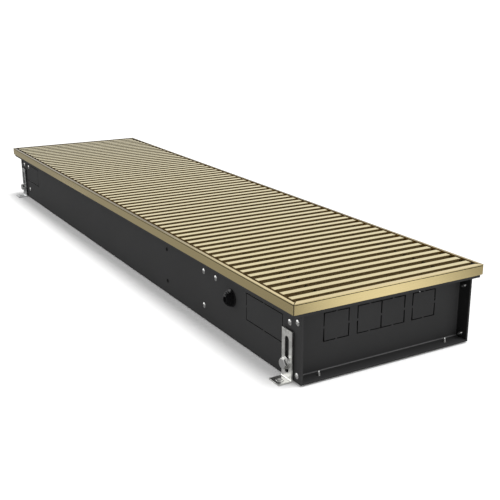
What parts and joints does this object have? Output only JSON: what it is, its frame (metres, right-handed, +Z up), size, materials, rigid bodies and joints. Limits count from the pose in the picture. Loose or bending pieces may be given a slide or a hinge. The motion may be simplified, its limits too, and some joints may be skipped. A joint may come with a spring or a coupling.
{
  "type": "trench convector heater",
  "caption": "Long floor-trench convector: a black sheet trough on slotted feet with a brass-coloured frame and lift-out slatted grille over a finned copper coil and a cross-flow fan.",
  "frame": {"origin": "on the floor at the middle of the footprint", "axes": "+X along the heater towards the end nearest the cable entry, +Y across it away from the cable entry, +Z up"},
  "size_m": [1.2, 0.3138, 0.11],
  "materials": {
    "black_sheet": "matt charcoal powder coat",
    "brass_anodised": "brushed and anodised pale brass",
    "galvanised_foot": "galvanised, faint spangle",
    "zinc_steel": "bright zinc plate",
    "galvanised_sheet": "galvanised sheet",
    "bare_aluminium": "bare mill finish",
    "dark_aluminium": "dark coated",
    "copper_tube": "drawn copper, slightly dulled",
    "yellow_brass": "machined brass",
    "black_rubber": "satin rubber",
    "black_plastic": "moulded",
    "grey_plastic": "moulded",
    "white_plastic": "moulded",
    "motor_paint": "dark grey coat"
  },
  "bodies": {
    "trough": {"floor_pan": "black_sheet", "side_wall_front": "black_sheet", "side_wall_rear": "black_sheet", "end_panel_near": "black_sheet", "end_panel_far": "black_sheet", "frame_rail_near": "brass_anodised", "frame_rail_far": "brass_anodised", "frame_rail_front": "brass_anodised", "frame_rail_rear": "brass_anodised", "frame_corner_keys": "black_plastic", "frame_screws": "zinc_steel", "rest_strips": "black_rubber", "divider_plate": "galvanised_sheet", "middle_plate": "galvanised_sheet", "far_plate": "galvanised_sheet", "fan_centre_bracket": "galvanised_sheet", "motor_bracket": "galvanised_sheet", "exchanger_fins": "bare_aluminium", "exchanger_tubes": "copper_tube", "exchanger_bends": "copper_tube", "connection_blocks": "yellow_brass", "vent_body": "yellow_brass", "fan_casing_near": "galvanised_sheet", "fan_casing_far": "galvanised_sheet", "fan_bearings": "black_rubber", "motor_body": "motor_paint", "motor_screws": "zinc_steel", "terminal_box": "grey_plastic", "terminal_lid": "grey_plastic", "terminal_block": "white_plastic", "terminal_screws": "yellow_brass", "cable_grommet": "black_rubber", "lead_grommet": "black_rubber", "motor_lead": "black_rubber", "foot_washers": "zinc_steel", "rivet_nuts": "zinc_steel", "wall_screws": "zinc_steel", "floor_screws": "zinc_steel", "wall_rivets": "black_sheet"},
    "grille": {"grille_slats": "brass_anodised", "grille_rods": "zinc_steel", "grille_sleeves": "brass_anodised"},
    "fan_rotor": {"fan_shaft": "zinc_steel", "fan_impeller_near": "dark_aluminium", "fan_impeller_far": "dark_aluminium", "fan_coupling": "black_rubber", "motor_shaft": "zinc_steel"},
    "air_vent": {"vent_screw": "zinc_steel"},
    "foot_front_near": {"foot_front_near": "galvanised_foot"},
    "bolt_front_near": {"bolt_front_near": "zinc_steel"},
    "foot_front_far": {"foot_front_far": "galvanised_foot"},
    "bolt_front_far": {"bolt_front_far": "zinc_steel"},
    "foot_rear_near": {"foot_rear_near": "galvanised_foot"},
    "bolt_rear_near": {"bolt_rear_near": "zinc_steel"},
    "foot_rear_far": {"foot_rear_far": "galvanised_foot"},
    "bolt_rear_far": {"bolt_rear_far": "zinc_steel"}
  },
  "joints": [
    {"name": "grille_lift", "type": "slide", "parent": "trough", "child": "grille", "axis": [0, 0, 1], "range_m": [0, 0.12]},
    {"name": "fan_spin", "type": "hinge", "parent": "trough", "child": "fan_rotor", "pos_m": [0, -0.088, 0.047], "axis": [1, 0, 0], "continuous": true},
    {"name": "vent_turn", "type": "hinge", "parent": "trough", "child": "air_vent", "pos_m": [0.3788, 0.095, 0.09], "axis": [0, 0, 1], "range_deg": [0, 360]},
    {"name": "front_near_foot_slide", "type": "slide", "parent": "trough", "child": "foot_front_near", "axis": [0, 0, -1], "range_m": [-0.0085, 0.03]},
    {"name": "front_near_bolt_turn", "type": "hinge", "parent": "trough", "child": "bolt_front_near", "pos_m": [0.569, -0.14, 0.023], "axis": [0, -1, 0], "range_deg": [0, 360]},
    {"name": "front_far_foot_slide", "type": "slide", "parent": "trough", "child": "foot_front_far", "axis": [0, 0, -1], "range_m": [-0.0085, 0.03]},
    {"name": "front_far_bolt_turn", "type": "hinge", "parent": "trough", "child": "bolt_front_far", "pos_m": [-0.569, -0.14, 0.023], "axis": [0, -1, 0], "range_deg": [0, 360]},
    {"name": "rear_near_foot_slide", "type": "slide", "parent": "trough", "child": "foot_rear_near", "axis": [0, 0, -1], "range_m": [-0.0085, 0.03]},
    {"name": "rear_near_bolt_turn", "type": "hinge", "parent": "trough", "child": "bolt_rear_near", "pos_m": [0.515, 0.14, 0.023], "axis": [0, 1, 0], "range_deg": [0, 360]},
    {"name": "rear_far_foot_slide", "type": "slide", "parent": "trough", "child": "foot_rear_far", "axis": [0, 0, -1], "range_m": [-0.0085, 0.03]},
    {"name": "rear_far_bolt_turn", "type": "hinge", "parent": "trough", "child": "bolt_rear_far", "pos_m": [-0.515, 0.14, 0.023], "axis": [0, 1, 0], "range_deg": [0, 360]}
  ]
}
